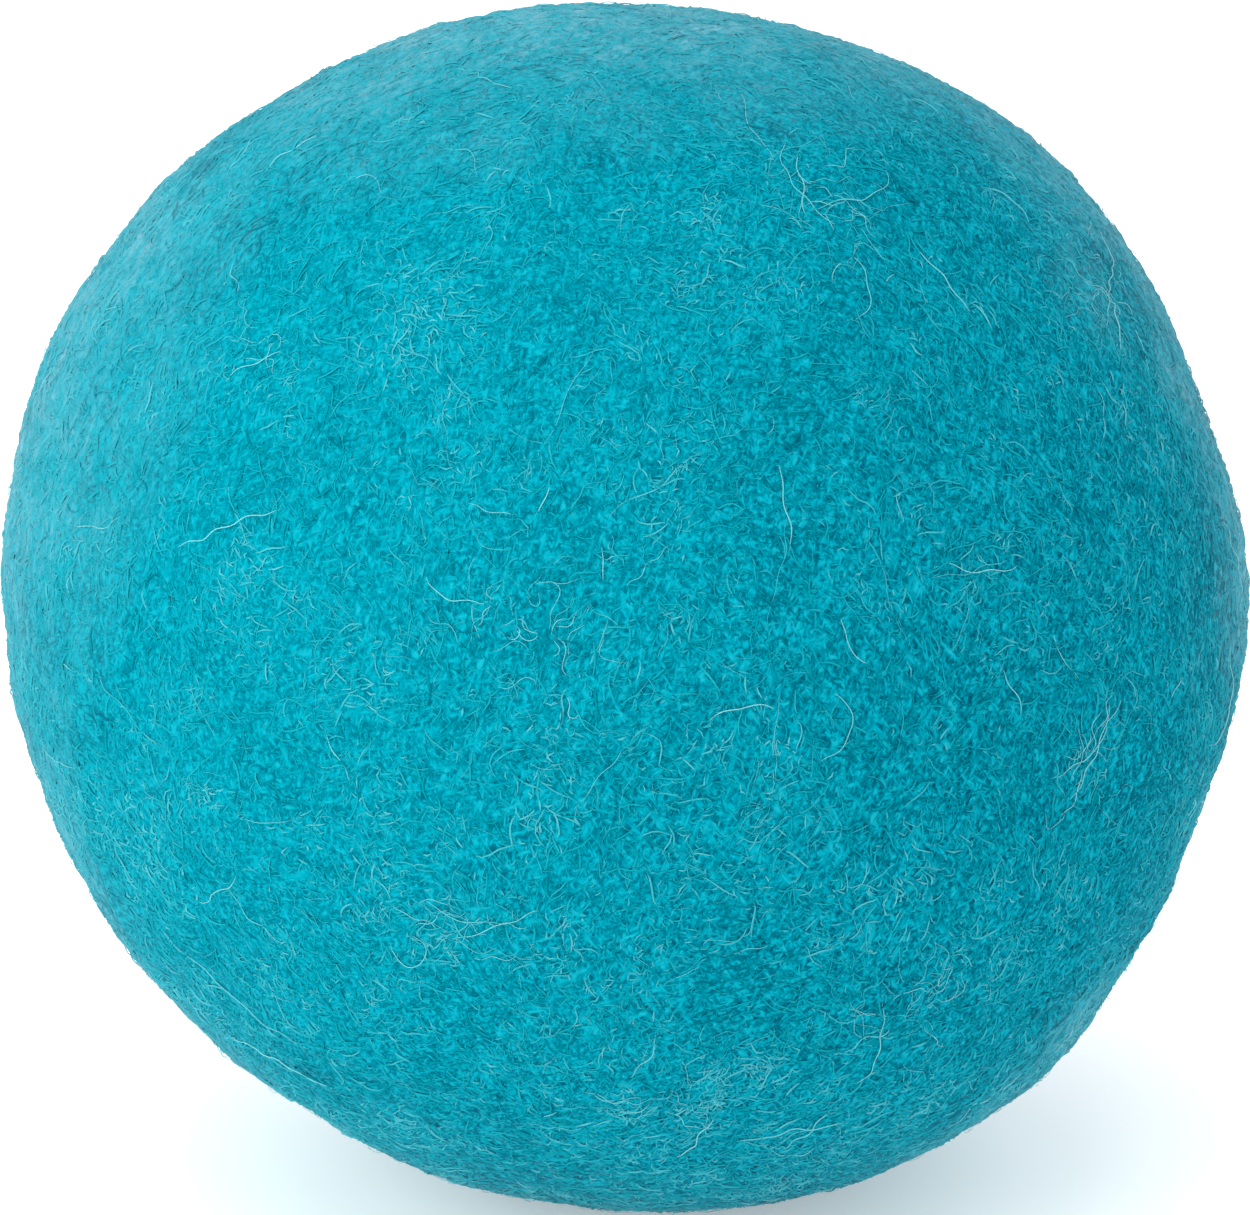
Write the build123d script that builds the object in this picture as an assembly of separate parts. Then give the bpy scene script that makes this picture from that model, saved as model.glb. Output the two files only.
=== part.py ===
from build123d import *
import os
from math import acos, cos, degrees, exp, radians, sin

# A felted wool dryer ball. A strip of undyed wool batting is rolled up tight as the core. More
# strips are wound over it, each as a belt round one axis that leaves its two poles open, and the
# next belt, on another axis, fills those poles. Two dyed belts follow, and a dyed cover is felted
# hard over them all. Millimetres, +Z up, ball resting on its flat patch with the origin under
# its middle.

# ---- driving dimensions ------------------------------------------------------------------
BALL_RADIUS = 34.86      # radius of the finished ball where it has no lump
CENTRE_HEIGHT = 34.2     # centre of the ball above the flat patch that it rests on

CORE_LENGTH = 24.0       # rolled core, end to end
CORE_RADIUS = 8.2        # rolled core at the strip's free end
BATTING = 1.4            # thickness of the rolled batting, the step at its free end

NATURAL_BELTS = 6        # undyed belts over the core
NATURAL_RADIUS = 28.0    # outside of the last undyed belt
DYED_BELTS = 2           # dyed belts over the undyed ones
DYED_RADIUS = 32.0       # outside of the last dyed belt, under the cover
POLE_ANGLE = 28.0        # half angle of the opening that a belt leaves at each pole

# Lumps and hollows of the finished ball: azimuth from +X, elevation, height, and spread in
# degrees. Each one falls off as exp(-(angle / spread) ** 2).
LUMPS = [
    (173, 24, 1.70, 42),     # broad shoulder, left and high
    (-11, -35, 1.60, 55),    # broad shoulder, right and low
    (-7, -23, -1.07, 16),    # hollow above the low shoulder
    (16, 45, 0.96, 21),      # shoulder, right and high
    (1, 3, 0.32, 10),        # small bump at the right-hand waist
    (124, 72, -0.14, 10),    # shallow dip near the top
    (214, -64, -0.60, 36),   # flattened underside
    (70, 8, 0.45, 38),       # gentle swell at the back
    (118, -28, -0.35, 26),   # gentle hollow at the back
    (262, 12, 0.25, 34),     # gentle swell in front
    (300, 38, -0.20, 22),    # gentle hollow in front
]

RING_POINTS = 24         # points of each level curve round the ball, and of the core's spiral
RINGS = 17               # level curves between the bottom and the top

CENTRE = Vector(0, 0, CENTRE_HEIGHT)
TURNS = [Rot(0, 0, 90), Rot(0, 0, 0), Rot(90, 0, 0)]    # a belt's axis laid along X, Y and Z


def direction(azimuth, elevation):
    """Unit vector for an azimuth and an elevation in degrees."""
    level = cos(radians(elevation))
    x = level * cos(radians(azimuth))
    y = level * sin(radians(azimuth))
    return Vector(x, y, sin(radians(elevation)))


def surface_radius(ray):
    """Distance from the ball's centre to its surface along a unit vector."""
    radius = BALL_RADIUS
    for azimuth, elevation, height, spread in LUMPS:
        cosine = max(-1.0, min(1.0, ray.dot(direction(azimuth, elevation))))
        angle = degrees(acos(cosine))
        radius += height * exp(-((angle / spread) ** 2))
    return radius


def polar(radius, angle):
    """Flat point at a radius and an angle in degrees."""
    return radius * cos(radians(angle)), radius * sin(radians(angle))


def surface_point(azimuth, elevation):
    """Point of the ball's surface in one direction from its centre."""
    ray = direction(azimuth, elevation)
    return CENTRE + ray * surface_radius(ray)


def level_curve(elevation):
    """Smooth closed curve round the ball at one elevation."""
    points = [surface_point(360 * i / RING_POINTS, elevation) for i in range(RING_POINTS)]
    steps = [i / RING_POINTS for i in range(RING_POINTS + 1)]
    return Wire([Edge.make_spline(points, periodic=True, parameters=steps)])


def finished_ball():
    """The whole ball as one solid: lofted bottom to top, then cut flat where it rests."""
    rise = 180 / (RINGS + 1)
    curves = [level_curve(-90 + rise * i) for i in range(1, RINGS + 1)]
    bottom = Vertex(surface_point(0, -90))
    top = Vertex(surface_point(0, 90))
    ball = Solid.make_loft([bottom, *curves, top])
    return ball.split(Plane.XY, keep=Keep.TOP)


def round_ball(radius):
    """Plain sphere about the ball's centre."""
    return Pos(CENTRE) * Sphere(radius)


def rolled_core():
    """Batting rolled up along X: a snail-shaped section, with both ends worn round."""
    points = []
    for i in range(RING_POINTS + 1):
        share = i / RING_POINTS
        points.append(polar(CORE_RADIUS - BATTING * (1 - share), 360 * share))
    outline = Spline(*points) + Line(points[-1], points[0])
    roll = extrude(make_face(outline), CORE_LENGTH / 2, both=True)
    return (Pos(CENTRE) * Rot(0, 90, 0) * roll) & round_ball(CORE_LENGTH / 2)


def wound_to(radius, under, turn):
    """Ball wound up to a radius round one axis, still at the radius under it at both poles."""
    edge = POLE_ANGLE
    outline = (
        CenterArc((0, 0), radius, edge - 90, 180 - 2 * edge)
        + Line(polar(radius, 90 - edge), polar(under, 90 - edge))
        + CenterArc((0, 0), under, 90 - edge, edge)
        + Line((0, under), (0, -under))
        + CenterArc((0, 0), under, -90, edge)
        + Line(polar(under, edge - 90), polar(radius, edge - 90))
    )
    return Pos(CENTRE) * turn * revolve(make_face(outline), Axis.Y)


def belts_between(name, count, inner, outer, first, envelope):
    """Belts wound one after another from one radius to another, and the last one's outside."""
    belts = {}
    thickness = (outer - inner) / count
    for i in range(count):
        under = inner + thickness * i
        wound = wound_to(under + thickness, under, TURNS[(first + i) % 3])
        belts[f"{name}_{i + 1}"] = wound - envelope
        envelope = wound
    return belts, envelope


def dryer_ball():
    """Every piece by name, from the core outwards."""
    core = rolled_core()
    natural, natural_ball = belts_between(
        "natural_belt", NATURAL_BELTS, CORE_LENGTH / 2, NATURAL_RADIUS, 0, core
    )
    dyed, dyed_ball = belts_between(
        "dyed_belt", DYED_BELTS, NATURAL_RADIUS, DYED_RADIUS, NATURAL_BELTS, natural_ball
    )
    cover = finished_ball() - dyed_ball
    return {"core_roll": core, **natural, **dyed, "felted_cover": cover}


os.makedirs("parts", exist_ok=True)
for node, shape in dryer_ball().items():
    export_step(shape, f"parts/{node}.step")
    print(node, round(shape.volume), "mm3")
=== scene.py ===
import math
import bpy
import numpy as np
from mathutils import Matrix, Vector
from mathutils.bvhtree import BVHTree


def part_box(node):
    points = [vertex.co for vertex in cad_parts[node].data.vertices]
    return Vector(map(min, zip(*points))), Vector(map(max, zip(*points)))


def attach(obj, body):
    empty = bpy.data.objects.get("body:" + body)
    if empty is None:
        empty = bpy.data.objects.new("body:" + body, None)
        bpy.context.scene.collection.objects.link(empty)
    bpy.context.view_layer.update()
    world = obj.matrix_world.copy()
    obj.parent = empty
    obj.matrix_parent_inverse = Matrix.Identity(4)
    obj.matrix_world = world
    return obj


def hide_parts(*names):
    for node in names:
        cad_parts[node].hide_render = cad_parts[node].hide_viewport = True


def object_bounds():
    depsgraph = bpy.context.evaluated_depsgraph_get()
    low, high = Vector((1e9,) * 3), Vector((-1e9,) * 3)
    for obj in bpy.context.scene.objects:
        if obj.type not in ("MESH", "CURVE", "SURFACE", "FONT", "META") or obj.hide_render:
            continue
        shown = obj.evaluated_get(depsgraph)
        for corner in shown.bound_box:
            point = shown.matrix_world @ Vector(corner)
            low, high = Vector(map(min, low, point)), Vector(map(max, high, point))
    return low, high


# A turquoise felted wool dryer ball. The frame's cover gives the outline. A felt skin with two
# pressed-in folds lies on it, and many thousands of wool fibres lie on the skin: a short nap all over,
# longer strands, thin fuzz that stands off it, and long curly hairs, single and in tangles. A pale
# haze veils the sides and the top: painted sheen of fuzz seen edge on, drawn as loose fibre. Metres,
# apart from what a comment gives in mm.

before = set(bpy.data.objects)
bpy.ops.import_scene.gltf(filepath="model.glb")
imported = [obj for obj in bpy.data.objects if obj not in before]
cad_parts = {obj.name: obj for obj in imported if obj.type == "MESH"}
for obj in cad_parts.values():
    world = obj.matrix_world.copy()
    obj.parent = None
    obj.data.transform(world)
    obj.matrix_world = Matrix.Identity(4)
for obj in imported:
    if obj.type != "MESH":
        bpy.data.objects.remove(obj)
cad_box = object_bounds()

MM = 0.001
COVER = "felted_cover"
BODY = "root"

low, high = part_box("dyed_belt_2")
CENTRE = (low + high) / 2                 # the belts are wound about the ball's centre
WIDTH = cad_box[1].x - cad_box[0].x       # left to right, as the camera sees it
rng = np.random.default_rng(20)


# ---- directions and smooth random fields --------------------------------------------------

def direction(azimuth, elevation):
    """Unit vector or vectors for an azimuth from +X and an elevation, in degrees."""
    a, e = np.radians(azimuth), np.radians(elevation)
    return np.stack([np.cos(e) * np.cos(a), np.cos(e) * np.sin(a), np.sin(e)], axis=-1)


def unit(v):
    """The same vectors at length one."""
    return v / np.linalg.norm(v, axis=-1, keepdims=True)


def waves(size, count=28, spread=0.35):
    """A smooth random field over unit directions, mostly from -1.5 to 1.5, with features of one size."""
    turns = 2 * math.pi * WIDTH / 2 / size
    k = unit(rng.normal(size=(count, 3))) * turns * rng.uniform(1 - spread, 1 + spread, (count, 1))
    phase = rng.uniform(0, 2 * math.pi, count)

    def field(u):
        total = np.zeros(u.shape[:-1])
        for wave, start in zip(k, phase):
            total += np.sin(u @ wave + start)
        return total * math.sqrt(2 / count)

    return field


# ---- the outline, read from the frame's cover ---------------------------------------------

class Outline:
    """Distance from the centre to the cover's outside, kept on a grid of azimuth and elevation."""

    STEP = 1.0        # degrees between grid lines

    def __init__(self, cover):
        mesh = cover.data
        corners = [v.co for v in mesh.vertices]
        faces = [p.vertices for p in mesh.polygons]
        tree = BVHTree.FromPolygons(corners, faces)
        az = np.arange(0, 360, self.STEP)
        el = np.arange(-90, 90 + self.STEP, self.STEP)
        self.grid = np.empty((len(el), len(az)))
        for i, e in enumerate(el):
            for j, ray in enumerate(direction(az, np.full(len(az), e))):
                ray = Vector(ray)
                hit = tree.ray_cast(CENTRE + ray * WIDTH, -ray)[0]    # from well outside, inwards
                self.grid[i, j] = (hit - CENTRE).length

    def __call__(self, u):
        """The cover's radius along unit vectors."""
        el = np.degrees(np.arcsin(np.clip(u[..., 2], -1, 1)))
        az = np.degrees(np.arctan2(u[..., 1], u[..., 0])) % 360
        rows, columns = self.grid.shape
        y = np.clip((el + 90) / self.STEP, 0, rows - 1.001)      # so that row i + 1 is on the grid
        x = az / self.STEP
        i, j = y.astype(int), x.astype(int) % columns
        k = (j + 1) % columns
        fy, fx = y - i, x - x.astype(int)
        below = self.grid[i, j] * (1 - fx) + self.grid[i, k] * fx
        above = self.grid[i + 1, j] * (1 - fx) + self.grid[i + 1, k] * fx
        return below * (1 - fy) + above * fy


outline = Outline(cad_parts[COVER])


# ---- felt relief --------------------------------------------------------------------------

SINK = 0.09      # mm that the skin lies under the cover's outline, for the nap to stand in
UNEVEN = [       # smooth unevenness of the felt: its height in mm, and the field that it follows
    (0.10, waves(14 * MM)),
    (0.04, waves(4.5 * MM)),
    (0.03, waves(1.9 * MM)),
]

# Folds pressed into the cover as it felted: stops along each one, then its height and width in mm.
FOLDS = [
    ([(-147, 5), (-151, -15), (-151, -30)], 0.30, 1.0),
    ([(-21, -17), (-24, -25), (-34, -28), (-43, -31)], -0.50, 0.60),
]

# Small lumps and hollows of the felt itself: azimuth, elevation, height in mm, spread in degrees.
LUMPS = [
    (-14, -43, 0.45, 8), (-26, -59, -0.32, 8), (151, 61, 0.30, 8), (168, 33, 0.20, 9),
    (-42, -70, 0.28, 5), (180, -4, 0.22, 6), (-8, -29, -0.22, 6),
]


def degrees_from(azimuth, elevation, u):
    """Angles in degrees between directions and one azimuth and elevation."""
    return np.degrees(np.arccos(np.clip(u @ direction(azimuth, elevation), -1, 1)))


def along(stops, u):
    """Distance in metres from directions to a line of stops on the ball."""
    ends = direction(*np.array(stops, float).T)
    near = np.full(u.shape[:-1], np.inf)
    for a, b in zip(ends[:-1], ends[1:]):
        t = np.clip((u - a) @ (b - a) / ((b - a) @ (b - a)), 0, 1)
        gap = np.linalg.norm(u - a - t[..., None] * (b - a), axis=-1)
        near = np.minimum(near, gap)
    return near * WIDTH / 2


def relief(u):
    """Height of the felt's skin above the cover's outline, in metres. The fibres fill the rest."""
    height = sum(tall * field(u) for tall, field in UNEVEN) - SINK
    for stops, tall, wide in FOLDS:
        height += tall * np.exp(-((along(stops, u) / MM / wide) ** 2))
    for azimuth, elevation, tall, spread in LUMPS:
        height += tall * np.exp(-((degrees_from(azimuth, elevation, u) / spread) ** 2))
    return height * MM


def surface(u, lift=0.0):
    """Points on the felt along unit vectors, raised by a lift in metres, and never under the floor."""
    radius = outline(u) + relief(u) + lift
    points = np.array(CENTRE) + u * radius[..., None]
    points[..., 2] = np.maximum(points[..., 2], 0.0)
    return points


# ---- mesh making --------------------------------------------------------------------------

def mesh_object(name, points, quads, triangles, uv, shades, normals=None):
    """A smooth-shaded mesh from arrays, with a map for baking, and named shades for its points."""
    mesh = bpy.data.meshes.new(name)
    loops = np.concatenate([quads.ravel(), triangles.ravel()]).astype(np.int32)
    starts = np.concatenate([
        np.arange(len(quads)) * 4,
        len(quads) * 4 + np.arange(len(triangles)) * 3,
    ]).astype(np.int32)
    mesh.vertices.add(len(points))
    mesh.vertices.foreach_set("co", points.astype(np.float32).ravel())
    mesh.loops.add(len(loops))
    mesh.loops.foreach_set("vertex_index", loops)
    mesh.polygons.add(len(starts))
    mesh.polygons.foreach_set("loop_start", starts)
    mesh.polygons.foreach_set("use_smooth", np.ones(len(starts), bool))
    mesh.update(calc_edges=True)
    layer = mesh.uv_layers.new(name="OFBake")
    layer.data.foreach_set("uv", uv.astype(np.float32).ravel())
    for label, values in shades.items():
        layer = mesh.attributes.new(label, "FLOAT", "POINT")
        layer.data.foreach_set("value", values.astype(np.float32))
    if normals is not None:
        lean = mesh.attributes.new("custom_normal", "FLOAT_VECTOR", "POINT")
        lean.data.foreach_set("vector", normals.astype(np.float32).ravel())
        mesh.update()
    made = bpy.data.objects.new(name, mesh)
    bpy.context.scene.collection.objects.link(made)
    return made


def finish_piece(piece, material):
    """Gives a piece its material and its body."""
    piece.data.materials.append(material)
    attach(piece, BODY)


# ---- pale haze ----------------------------------------------------------------------------

# Painted sheen of fuzz seen edge on, drawn as a pale veil of loose fibre on the sides and the top:
# azimuth and elevation, the angles from there at which it starts to thin and has gone, and its strength.
SHEEN_HAZE = [
    (172, 20, 16, 48, 0.36),      # left-hand side
    (178, -25, 18, 33, 0.32),     # behind the ridge on the left
    (-176, -42, 10, 28, 0.25),    # left-hand side, low down
    (-163, -66, 8, 24, 0.20),
    (120, 72, 18, 50, 0.36),      # over the top
    (48, 58, 10, 36, 0.38),
    (18, 36, 6, 32, 0.50),        # right-hand side
    (3, 6, 6, 26, 0.55),
    (6, -18, 6, 28, 0.50),
    (-8, -48, 6, 26, 0.38),
    (-30, -36, 3, 11, 0.30),      # under the crease, right and low
    (-12, 27, 3, 9, 0.24),
    (-23, 37, 2, 9, 0.14),
]
SHEEN_HAZE_LIMIT = 0.85
DRIFTS = [        # unevenness of the haze: its share, and the field that it follows
    (0.35, waves(11 * MM)),
    (0.40, waves(5 * MM)),
    (0.35, waves(2.4 * MM)),
]


def sheen_haze(u):
    """How far the painted sheen's pale veil covers the dyed wool, from 0 to 1: patchy, and thickest at
    its listed places.
    """
    veil = np.zeros(len(u))
    for azimuth, elevation, thick, gone, strength in SHEEN_HAZE:
        angle = degrees_from(azimuth, elevation, u)
        veil = np.maximum(veil, strength * np.clip((gone - angle) / (gone - thick), 0, 1))
    drift = sum(share * field(u) for share, field in DRIFTS)
    return np.clip(veil * (0.9 + 0.45 * drift), 0, SHEEN_HAZE_LIMIT)


CALM_LIMIT = 0.9


def calm(u):
    """How even the wool's tone and the painted shade of its pits are, from 0 up: most on the left, high
    up and under the painted sheen.
    """
    side = np.clip(0.30 - 0.60 * u[:, 0] + 0.35 * u[:, 2], 0, 1) * 0.45
    return np.clip(side + 1.3 * sheen_haze(u), 0, CALM_LIMIT)


# ---- the felt skin ------------------------------------------------------------------------

SKIN_CELLS = 128      # quads along each side of the cube that is blown up into the skin


def felt_skin(material):
    """The felt's surface: a cube of even squares blown up to the outline, with its relief."""
    n = SKIN_CELLS
    line = np.tan(np.linspace(-math.pi / 4, math.pi / 4, n + 1))
    a, b = np.meshgrid(line, line, indexing="ij")
    ones = np.ones_like(a)
    sides = [
        (ones, a, b), (-ones, -a, b), (-a, ones, b),
        (a, -ones, b), (a, b, ones), (-a, b, -ones),
    ]
    cube = np.concatenate([np.stack(s, axis=-1).reshape(-1, 3) for s in sides])
    corners, index = np.unique(np.round(cube, 9), axis=0, return_inverse=True)
    index = index.reshape(6, n + 1, n + 1)
    quads, maps = [], []
    step = np.linspace(0.01, 0.99, n + 1)
    p, q = np.meshgrid(step, step, indexing="ij")
    for side in range(6):
        grid = index[side]
        cells = [grid[:-1, :-1], grid[1:, :-1], grid[1:, 1:], grid[:-1, 1:]]
        quads.append(np.stack(cells, axis=-1).reshape(-1, 4))
        place = np.stack([(p + side % 3) / 3, (q + side // 3) / 2], axis=-1)
        spots = [place[:-1, :-1], place[1:, :-1], place[1:, 1:], place[:-1, 1:]]
        maps.append(np.stack(spots, axis=2).reshape(-1, 2))
    u = unit(corners)
    none = np.empty((0, 3), int)
    walls, places = np.concatenate(quads), np.concatenate(maps)
    shades = {"sheen_haze": sheen_haze(u), "calm": calm(u)}
    skin = mesh_object("felt_skin", surface(u), walls, none, places, shades)
    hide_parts(COVER)
    finish_piece(skin, material)


# ---- fibres -------------------------------------------------------------------------------

flow = [waves(22 * MM) for _ in range(3)]        # the wool's grain, as a slowly turning direction
RIGHT_GRAIN = np.array([0.15, 0.0, 1.0])         # the grain stands upright on the right
LOW_GRAIN = np.array([1.0, 0.0, 0.15])           # and lies level low down


def tangent(u, v):
    """Vectors v laid flat on the ball at directions u."""
    return unit(v - np.sum(v * u, axis=-1, keepdims=True) * u)


def headings(u, wander):
    """Starting directions for fibres: the wool's grain, turned at random by about wander degrees."""
    grain_line = np.stack([f(u) for f in flow], axis=-1)
    grain_line += 1.6 * np.clip(u[:, :1] - 0.2, 0, 1) * RIGHT_GRAIN
    grain_line += 1.4 * np.clip(-u[:, 2:] - 0.25, 0, 1) * LOW_GRAIN
    t = tangent(u, grain_line)
    turn = np.radians(rng.normal(0, wander, len(u))) + math.pi * rng.integers(0, 2, len(u))
    return t * np.cos(turn)[:, None] + np.cross(u, t) * np.sin(turn)[:, None]


WEAVE_LENGTH = 1.9 * MM      # along a hair, from one place where it surfaces to the next
END_DEPTH = 0.03 * MM        # that a fibre's ends sink into the felt
BEND_KEPT = 0.75             # share of its bend that a fibre keeps from one step to the next
BEND_NEW = 0.6               # spread of the new bend at each step, as a share of the drift


def fibre_paths(u, t, length, lift, segments, crimp, crimp_length, drift, weave=0.0, sweep=0.0):
    """Walks fibres over the felt. Returns their points, outward and side directions, by step.

    lift is how far the middle of each fibre stands off the felt in metres. crimp is the wave's swing
    in degrees over crimp_length metres, and drift is the random turn in degrees a step. weave is how
    deep a fibre dips back along its length, as a share of its lift, and sweep is the angle in degrees
    that it turns to its left from end to end.
    """
    n = len(u)
    step = length / segments
    phase = rng.uniform(0, 2 * math.pi, n)
    rate = 2 * math.pi * step / (crimp_length * rng.uniform(0.7, 1.4, n))
    bend = np.radians(drift) * rng.normal(size=n)
    directions, sides = [], []
    for s in range(segments + 1):
        bend = BEND_KEPT * bend + np.radians(drift) * rng.normal(0, BEND_NEW, n)
        directions.append(u)
        sides.append(np.cross(u, t))
        turn = bend + np.radians(crimp) * rate * np.cos(phase + rate * s) + np.radians(sweep) / segments
        t = t * np.cos(turn)[:, None] + np.cross(u, t) * np.sin(turn)[:, None]
        u = unit(u + t * (step / (WIDTH / 2))[:, None])
        t = tangent(u, t)
    u_all, side = np.stack(directions, axis=1), np.stack(sides, axis=1)
    share = np.linspace(0, 1, segments + 1)
    arch = np.sin(math.pi * share) ** 0.7
    turns = length[:, None] * share / WEAVE_LENGTH
    dip = 0.5 + 0.5 * np.sin(2 * math.pi * turns + phase[:, None])
    height = lift[:, None] * arch * (1 - weave * dip) - END_DEPTH * (1 - arch)
    return surface(u_all, height), u_all, side


ROUNDNESS = 0.30      # how far a fibre's shading turns round it, against facing straight out
END_THICKNESS = 0.35  # a fibre's thickness at its ends, as a share of its middle's


def tubes(name, paths, radius, tone, material):
    """One closed three-sided tube for each fibre, thinner at both ends."""
    points, out, side = paths
    n, count = points.shape[:2]
    share = np.linspace(0, 1, count)
    taper = END_THICKNESS + (1 - END_THICKNESS) * np.sin(math.pi * share) ** 0.5
    r = (radius[:, None] * taper)[..., None]
    ring = [math.pi / 2 + 2 * math.pi * k / 3 for k in range(3)]
    rings = [points + r * (math.sin(a) * out + math.cos(a) * side) for a in ring]
    corners = np.stack(rings, axis=2)                                    # fibre, step, corner
    corners[..., 2] = np.maximum(corners[..., 2], 0.0)
    index = np.arange(n * count * 3).reshape(n, count, 3)
    quads = []
    for k in range(3):
        j = (k + 1) % 3
        wall = [index[:, :-1, k], index[:, :-1, j], index[:, 1:, j], index[:, 1:, k]]
        quads.append(np.stack(wall, axis=-1).reshape(-1, 4))
    quads = np.concatenate(quads)
    caps = np.concatenate([index[:, 0, ::-1], index[:, -1, :]])
    cells = math.ceil(math.sqrt(n))
    row, column = np.divmod(np.arange(n), cells)
    fit = 0.2 + 0.6 * share
    u_map = (column[:, None, None] + fit[None, :, None] + np.zeros((1, 1, 3))) / cells
    v_map = (row[:, None, None] + np.zeros((1, count, 1)) + np.array([0.2, 0.5, 0.8])) / cells
    place = np.stack([u_map, v_map], axis=-1).reshape(-1, 2)
    loops = np.concatenate([quads.ravel(), caps.ravel()])
    shades = {"tone": np.repeat(tone, count * 3), "sheen_haze": np.repeat(sheen_haze(out[:, 0]), count * 3)}
    rounds = np.stack([math.sin(a) * out + math.cos(a) * side for a in ring], axis=2)
    lean = unit(out[:, :, None, :] + ROUNDNESS * rounds).reshape(-1, 3)
    made = mesh_object(name, corners.reshape(-1, 3), quads, caps, place[loops], shades, lean)
    finish_piece(made, material)


def scattered(n):
    """Random directions, even over the ball."""
    return unit(rng.normal(size=(n, 3)))


def through_sheen_haze(n):
    """Random directions, fewer where the painted sheen's pale veil lies on the wool."""
    u = scattered(n)
    return u[rng.random(n) > 0.6 * sheen_haze(u)]


NAP_PIECES = 10
NAP_EACH = 14000           # fibres in each piece, before the haze thins them
STRAND_PIECES = 2
STRANDS_EACH = 6200
FUZZ_COUNT = 5000
GUARD_HAIRS = 430
cloud = waves(11 * MM)
patches = waves(3.5 * MM)


def paleness(u, base, spread):
    """A tone from 0 to 1 for each fibre: patchy, and a little darker on the right and high up, which is
    painted shade on the right and painted light low down.
    """
    pale = base + 0.09 * cloud(u) + 0.11 * patches(u) - 0.06 * u[:, 0] - 0.05 * u[:, 2]
    return np.clip(pale + rng.normal(0, spread, len(u)) * (1 - 0.9 * calm(u)), 0, 1)


def nap(material):
    """The short fibre ends all over: dark ones low in the felt, darkened with painted shade and more of
    them on the right, pale ones lying on top in patches.
    """
    for i in range(NAP_PIECES):
        u = through_sheen_haze(NAP_EACH)
        n = len(u)
        length = rng.gamma(5.0, 0.13, n).clip(0.28, 1.5) * MM
        pale = paleness(u, 0.42, 0.22)
        # painted shade: the low fibres are darkened as if in shadow, more of them on the right
        sunk_and_shaded = rng.random(n) < (0.20 + 0.20 * np.clip(u[:, 0], 0, 1)) * (1 - 2.5 * sheen_haze(u))
        pale[sunk_and_shaded] *= 0.25
        flattened = np.clip(1 - 1.8 * sheen_haze(u), 0.2, 1)
        lift = (0.015 + 0.11 * pale * rng.uniform(0.4, 1.2, n)) * flattened * MM
        paths = fibre_paths(
            u, headings(u, 32), length, lift, segments=2, crimp=30, crimp_length=1.6 * MM, drift=12
        )
        radius = rng.uniform(0.042, 0.074, n) * MM
        tubes(f"felt_nap_{i + 1}", paths, radius, pale, material)


def strands(material):
    """Longer, finer fibres that show for a millimetre or two before they sink into the mat."""
    for i in range(STRAND_PIECES):
        u = through_sheen_haze(STRANDS_EACH)
        n = len(u)
        length = rng.gamma(6.0, 0.25, n).clip(0.8, 2.8) * MM
        pale = paleness(u, 0.50, 0.20)
        lift = rng.uniform(0.05, 0.12, n) * MM
        paths = fibre_paths(
            u, headings(u, 32), length, lift, segments=5, crimp=20, crimp_length=2.8 * MM, drift=8
        )
        radius = rng.uniform(0.042, 0.060, n) * MM
        tubes(f"long_strands_{i + 1}", paths, radius, pale, material)


def fuzz(material):
    """Very fine fibres that stand off the felt a little."""
    n = FUZZ_COUNT
    u = scattered(n)
    length = rng.uniform(0.8, 2.4, n) * MM
    lift = rng.uniform(0.08, 0.28, n) * MM
    paths = fibre_paths(
        u, headings(u, 50), length, lift, segments=4, crimp=24, crimp_length=2.4 * MM, drift=12
    )
    radius = rng.uniform(0.013, 0.019, n) * MM
    tubes("edge_fuzz", paths, radius, paleness(u, 0.60, 0.2), material)


def guard_hairs(material):
    """Long pale hairs that wander singly over the nap."""
    n = GUARD_HAIRS
    u = scattered(n)
    length = rng.gamma(3.5, 0.9, n).clip(1.2, 7.5) * MM
    lift = rng.uniform(0.10, 0.22, n) * MM
    paths = fibre_paths(
        u, headings(u, 45), length, lift,
        segments=18, crimp=12, crimp_length=3.2 * MM, drift=4, weave=0.9,
    )
    radius = rng.uniform(0.016, 0.030, n) * MM
    tubes("guard_hairs", paths, radius, rng.uniform(0.0, 1.0, n) ** 1.5, material)


# Where loose hairs have gathered: azimuth, elevation, spread in mm and the number of hairs.
TANGLES = [
    (-59, 51, 3.0, 26), (-23, 37, 2.6, 24), (-45, -2, 3.2, 22), (-61, -24, 3.4, 30),
    (-84, -35, 3.6, 26), (-106, -15, 3.4, 20), (-133, 35, 3.0, 12), (-99, 14, 5.5, 34),
    (-30, -36, 2.2, 26), (20, 20, 3.2, 22), (60, 45, 3.0, 20), (75, -15, 3.4, 26),
    (110, 10, 3.6, 26), (140, 40, 3.0, 18), (160, -20, 3.4, 24), (-175, 12, 3.0, 20),
]


def tangles(material):
    """Knots of tightly curled hairs, each about one of the gathered places."""
    middle = np.concatenate([np.repeat(direction(a, e)[None], n, 0) for a, e, _, n in TANGLES])
    spread = np.concatenate([np.full(n, s * MM / (WIDTH / 2)) for _, _, s, n in TANGLES])
    n = len(middle)
    u = unit(middle + rng.normal(size=(n, 3)) * spread[:, None] * 0.5)
    length = rng.uniform(1.2, 4.2, n) * MM
    lift = rng.uniform(0.12, 0.28, n) * MM
    paths = fibre_paths(
        u, headings(u, 70), length, lift,
        segments=16, crimp=26, crimp_length=2.0 * MM, drift=9, weave=0.9,
    )
    radius = rng.uniform(0.014, 0.026, n) * MM
    tubes("hair_tangles", paths, radius, rng.uniform(0.2, 1.0, n), material)


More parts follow.
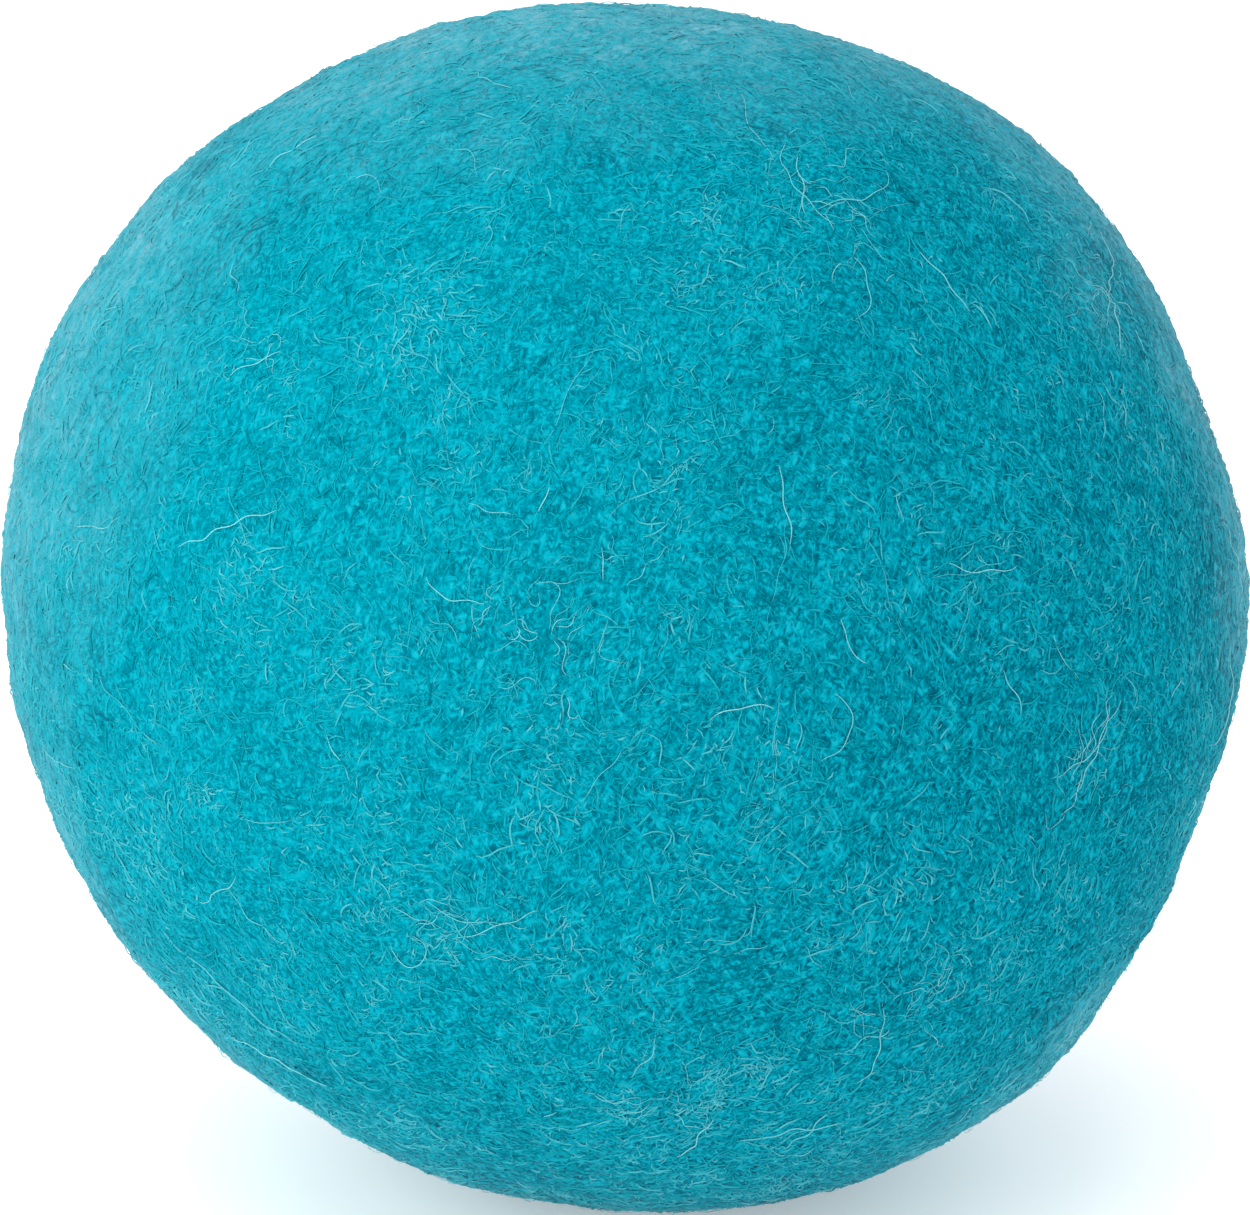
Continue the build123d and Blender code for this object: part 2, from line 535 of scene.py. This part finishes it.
# Hairs that stand out one by one: azimuth and elevation of one end, the heading there in degrees
# from level, the length in mm, and how far it turns to its left by the other end.
SINGLE_HAIRS = [
    # high on the right, in front
    (-60, 60, -145, 8, 120), (-60, 58, -110, 5, 60), (-45, 55, -135, 8, -25),
    (-60, 46, -80, 5, -55), (-50, 46, -60, 5, -50), (-30, 50, -35, 4, -100),
    (-5, 40, -175, 12, -25), (-20, 35, -150, 4, 5), (-75, 27, -95, 5, -5),
    # in the middle, in front
    (-60, 17, -15, 5, 10), (-55, 7, -90, 3, 0), (-43, 2, -100, 6, -55), (-43, 0, -105, 5, -40),
    (-17, 0, -65, 8, -120), (-72, 7, -10, 5, -130), (-83, 5, 45, 4, -45), (-108, 17, -85, 4, 100),
    # low down, in front
    (-87, -25, -110, 4, -20), (-80, -37, -85, 5, -50), (-77, -42, 35, 7, 15),
    (-67, -36, -90, 5, 5), (-65, -23, -90, 7, -15),
    # on the left
    (-143, -22, -25, 12, 5), (-145, -37, 25, 10, -40), (-112, -17, -110, 5, 250),
    (-108, -12, -35, 5, 50), (-106, -16, 40, 6, 0), (-160, -8, 10, 6, -10),
    (-135, 16, 20, 8, -5), (-135, 31, 60, 4, 15),
    # at the back
    (30, 30, 40, 6, -60), (70, 5, -70, 7, 45), (100, 35, 15, 5, 90),
    (130, -15, -30, 8, -35), (165, 10, 80, 5, 60),
]


def single_hairs(material):
    """The long pale hairs that stand out one by one."""
    azimuth, elevation, heading, length, sweep = np.array(SINGLE_HAIRS, float).T
    u = direction(azimuth, elevation)
    east = tangent(u, np.cross([0, 0, 1.0], u))
    aim = np.radians(heading)[:, None]
    t = east * np.cos(aim) + np.cross(u, east) * np.sin(aim)
    lift = rng.uniform(0.17, 0.24, len(u)) * MM
    paths = fibre_paths(
        u, t, length * MM, lift,
        segments=26, crimp=12, crimp_length=2.2 * MM, drift=2.5, weave=0.35, sweep=sweep,
    )
    radius = rng.uniform(0.026, 0.036, len(u)) * MM
    tubes("single_hairs", paths, radius, rng.uniform(0.6, 1.0, len(u)), material)


# ---- materials ----------------------------------------------------------------------------

class Shading:
    """A material being built: its nodes, its links and its one principled shader."""

    def __init__(self, name):
        self.material = bpy.data.materials.new(name)
        self.material.use_nodes = True
        self.tree = self.material.node_tree
        self.shader = self.tree.nodes["Principled BSDF"]
        self.place = self.add("ShaderNodeTexCoord").outputs["Object"]

    def add(self, kind, **settings):
        """A new node with its settings."""
        node = self.tree.nodes.new(kind)
        for key, value in settings.items():
            setattr(node, key, value)
        return node

    def join(self, source, target):
        """A link from one node's output to another's input."""
        self.tree.links.new(source, target)

    def noise(self, scale, detail=3.0, roughness=0.6, distortion=0.0, kind="FBM", place=None):
        """A noise texture's value. The scale is in features a metre."""
        node = self.add("ShaderNodeTexNoise", noise_type=kind)
        node.inputs["Scale"].default_value = scale
        node.inputs["Detail"].default_value = detail
        node.inputs["Roughness"].default_value = roughness
        node.inputs["Distortion"].default_value = distortion
        self.join(place or self.place, node.inputs["Vector"])
        return node.outputs["Fac"]

    def streaks(self, turn, length, width):
        """Streaky noise, about 0.5: streaks of a length and width in metres, turned in degrees."""
        turned = self.add("ShaderNodeMapping", vector_type="TEXTURE")
        turned.inputs["Rotation"].default_value = [math.radians(a) for a in turn]
        turned.inputs["Scale"].default_value = (length, width, width)
        self.join(self.place, turned.inputs["Vector"])
        return self.noise(1.0, 1.0, 0.5, 0.4, place=turned.outputs["Vector"])

    def crossing(self, turns, length, width):
        """Streaks that cross: the palest of several layers, each with its own turn."""
        layers = [self.streaks(turn, length, width) for turn in turns]
        top = layers[0]
        for layer in layers[1:]:
            top = self.maths("MAXIMUM", top, layer)
        return top

    def ramp(self, value, stops):
        """A colour or grey ramp through (position, colour) stops."""
        node = self.add("ShaderNodeValToRGB")
        ramp = node.color_ramp
        while len(ramp.elements) < len(stops):
            ramp.elements.new(0.5)
        for element, (position, colour) in zip(ramp.elements, stops):
            element.position = position
            element.color = (*colour, 1)
        self.join(value, node.inputs["Fac"])
        return node.outputs["Color"]

    def painted(self, label):
        """A shade that the mesh carries for each of its points."""
        return self.add("ShaderNodeAttribute", attribute_name=label).outputs["Fac"]

    def mix(self, share, first, second):
        """Two colours mixed. Each of the three is a socket or a plain value."""
        node = self.add("ShaderNodeMix", data_type="RGBA")
        for socket, value in ((0, share), (6, first), (7, second)):
            target = node.inputs[socket]
            if isinstance(value, bpy.types.NodeSocket):
                self.join(value, target)
            else:
                target.default_value = value if socket == 0 else (*value, 1)
        return node.outputs[2]

    def maths(self, operation, first, second):
        """One sum on two values, each a socket or a number."""
        node = self.add("ShaderNodeMath", operation=operation)
        for target, value in zip(node.inputs, (first, second)):
            if isinstance(value, bpy.types.NodeSocket):
                self.join(value, target)
            else:
                target.default_value = value
        return node.outputs["Value"]

    def bump(self, height, depth):
        """Surface relief from a height of 0 to 1 over a depth in metres."""
        node = self.add("ShaderNodeBump")
        node.inputs["Strength"].default_value = 1.0
        node.inputs["Distance"].default_value = depth
        self.join(height, node.inputs["Height"])
        self.join(node.outputs["Normal"], self.shader.inputs["Normal"])

    def set(self, **values):
        """Plain values on the shader's own sockets, named with _ for each space."""
        for key, value in values.items():
            self.shader.inputs[key.replace("_", " ")].default_value = value


PIT_SHADE = (0.000, 0.070, 0.115)        # painted shade deep between the fibres
DEEP_SHADE = (0.000, 0.150, 0.220)       # painted shade between the fibres
TEAL = (0.000, 0.300, 0.392)       # the dyed wool
BRIGHT = (0.010, 0.375, 0.475)     # single fibres in the light
MILKY = (0.075, 0.470, 0.560)      # pale fuzz
SHEEN_VEIL = (0.140, 0.370, 0.450)       # painted sheen of fuzz seen edge on, drawn as a pale veil of loose fibre
HAIR = (0.220, 0.620, 0.680)       # guard hairs, which took less dye


def wool(shading, weight, roughness):
    """What all the wool shares: no gloss, and a pale sheen from fibres seen edge on."""
    shading.set(Roughness=1.0, Specular_IOR_Level=0.0)
    shading.set(Sheen_Weight=weight, Sheen_Roughness=roughness, Sheen_Tint=(0.80, 0.95, 1.0, 1))


# Turns in degrees about X, Y and Z that lay the mat's fibres, and the haze's, along several lines.
MAT_TURNS = [(0, -70, 0), (0, -125, 20), (0, -15, -20), (20, -45, 75)]
WISP_TURNS = [(0, -60, 35), (0, -95, -35), (0, 5, 60)]
MAT_STREAK = (1.2 * MM, 0.26 * MM)       # length and width of the mat's streaks
BROAD_WISP = (5.0 * MM, 0.60 * MM)       # and of the haze's
FINE_WISP = (2.4 * MM, 0.25 * MM)


def sheen_veiled(shading, dyed):
    """Dyed wool under the painted sheen, a pale veil which lies in wisps."""
    broad = shading.crossing(WISP_TURNS, *BROAD_WISP)
    fine = shading.crossing(WISP_TURNS, *FINE_WISP)
    wisps = shading.maths("MULTIPLY", shading.maths("ADD", broad, fine), 0.5)
    wisps = shading.ramp(wisps, [(0.54, (0.5,) * 3), (0.72, (2.6,) * 3)])
    veil = shading.maths("MULTIPLY", shading.painted("sheen_haze"), wisps)
    return shading.mix(veil, dyed, SHEEN_VEIL)


def skin_material():
    """Matted felt: fine strands and dark pits of painted shade, seen between the fibres that lie on it.
    """
    s = Shading("felt_skin_wool")
    wool(s, 0.18, 0.3)
    mat = s.crossing(MAT_TURNS, *MAT_STREAK)
    # painted shade: the streaks' low values give dark pits between the mat's fibres
    felt = s.ramp(mat, [(0.44, PIT_SHADE), (0.54, DEEP_SHADE), (0.65, TEAL), (0.80, BRIGHT)])
    calmed = s.painted("calm")
    dyed = s.mix(calmed, felt, TEAL)
    s.join(sheen_veiled(s, dyed), s.shader.inputs["Base Color"])
    s.bump(s.maths("MULTIPLY", mat, s.maths("SUBTRACT", 1.0, calmed)), 0.05 * MM)
    return s.material


def fibre_material(name, stops, sheen):
    """Fibres shaded one by one by their tone, with a little unevenness along each."""
    s = Shading(name)
    wool(s, sheen, 0.3)
    uneven = s.maths("MULTIPLY", s.noise(900, 2), 0.3)
    value = s.maths("ADD", s.painted("tone"), s.maths("SUBTRACT", uneven, 0.15))
    s.join(sheen_veiled(s, s.ramp(value, stops)), s.shader.inputs["Base Color"])
    return s.material


def inner_material(name, dark, light):
    """Loose batting of the core and belts, inside the ball."""
    s = Shading(name)
    wool(s, 0.4, 0.5)
    strands = s.noise(700, 5, 0.65, 1.8, "RIDGED_MULTIFRACTAL")
    s.join(s.ramp(strands, [(0.2, dark), (0.8, light)]), s.shader.inputs["Base Color"])
    s.bump(strands, 0.25 * MM)
    return s.material


def dress_inner_nodes():
    """Wool materials for the frame's inner pieces, which the cover hides."""
    natural = inner_material("natural_batting", (0.42, 0.37, 0.28), (0.80, 0.76, 0.66))
    dyed = inner_material("dyed_batting", DEEP_SHADE, BRIGHT)
    for name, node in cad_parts.items():
        if name == COVER:
            continue
        chosen = dyed if name.startswith("dyed") else natural
        node.data.materials.clear()
        node.data.materials.append(chosen)


# ---- floor, light and camera --------------------------------------------------------------

CAMERA_RISE = 15.0        # degrees that the camera looks down
LENS = 150.0              # mm on a sensor 36 mm wide
SENSOR = 36.0
FILL = 0.997              # share of the picture's width that the ball fills
FLOOR_SIZE = 8.0
FLOOR_WHITE = 0.94
FLOOR_GLOW = 0.30


def glowing_white():
    """The white top of a light table, lit faintly from inside."""
    s = Shading("light_table")
    s.set(Base_Color=(FLOOR_WHITE, FLOOR_WHITE, FLOOR_WHITE, 1))
    s.set(Roughness=0.9, Specular_IOR_Level=0.1)
    s.set(Emission_Color=(1.0, 1.0, 1.0, 1), Emission_Strength=FLOOR_GLOW)
    return s.material


def floor():
    """A wide pale light table under the ball."""
    bpy.ops.mesh.primitive_plane_add(size=FLOOR_SIZE, location=(0, 0, 0))
    plane = bpy.context.object
    plane.name = "floor"
    plane.data.materials.append(glowing_white())


# Each lamp: name, azimuth, elevation, distance and size in metres, power in watts, and colour.
LAMPS = [
    ("key_left", -141, 20, 0.7, 0.6, 2.6, (1.0, 0.95, 0.82)),
    ("back_left", 165, 35, 0.7, 0.5, 0.3, (1.0, 1.0, 1.0)),
    ("top_soft", -110, 72, 0.8, 0.6, 2.1, (1.0, 1.0, 1.0)),
]


def area_light(name, azimuth, elevation, distance, size, power, colour):
    """A square soft light that faces the ball."""
    light = bpy.data.lights.new(name, "AREA")
    light.shape = "SQUARE"
    light.size = size
    light.energy = power
    light.color = colour
    lamp = bpy.data.objects.new(name, light)
    lamp.location = CENTRE + Vector(direction(azimuth, elevation)) * distance
    lamp.rotation_euler = (CENTRE - lamp.location).to_track_quat("-Z", "Y").to_euler()
    bpy.context.scene.collection.objects.link(lamp)


def lighting():
    """A bright white room and three soft lamps, the strongest in front on the left."""
    world = bpy.data.worlds.new("studio")
    world.use_nodes = True
    back = world.node_tree.nodes["Background"]
    back.inputs["Color"].default_value = (0.97, 0.98, 1.0, 1)
    back.inputs["Strength"].default_value = 1.0
    bpy.context.scene.world = world
    for lamp in LAMPS:
        area_light(*lamp)
    bpy.context.scene.view_settings.view_transform = "Standard"


def camera():
    """In front, looking down a little, and far enough off for the ball to fill the picture."""
    data = bpy.data.cameras.new("camera")
    data.sensor_width = SENSOR
    data.lens = LENS
    half = math.atan(FILL * SENSOR / 2 / LENS)
    distance = WIDTH / 2 / math.sin(half)
    made = bpy.data.objects.new("camera", data)
    made.location = CENTRE + Vector(direction(-90, CAMERA_RISE)) * distance
    made.rotation_euler = (CENTRE - made.location).to_track_quat("-Z", "Y").to_euler()
    data.clip_start = 0.01
    bpy.context.scene.collection.objects.link(made)
    bpy.context.scene.camera = made


camera()
lighting()
floor()
dress_inner_nodes()
felt_skin(skin_material())
nap_wool = fibre_material("nap_wool", [(0.0, DEEP_SHADE), (0.40, TEAL), (0.70, BRIGHT), (1.0, MILKY)], 0.18)
nap(nap_wool)
strands(nap_wool)
fuzz(fibre_material("fuzz_wool", [(0.0, TEAL), (0.5, BRIGHT), (1.0, MILKY)], 0.3))
hair_wool = fibre_material("hair_wool", [(0.0, BRIGHT), (0.5, MILKY), (1.0, HAIR)], 0.4)
guard_hairs(hair_wool)
tangles(hair_wool)
single_hairs(hair_wool)
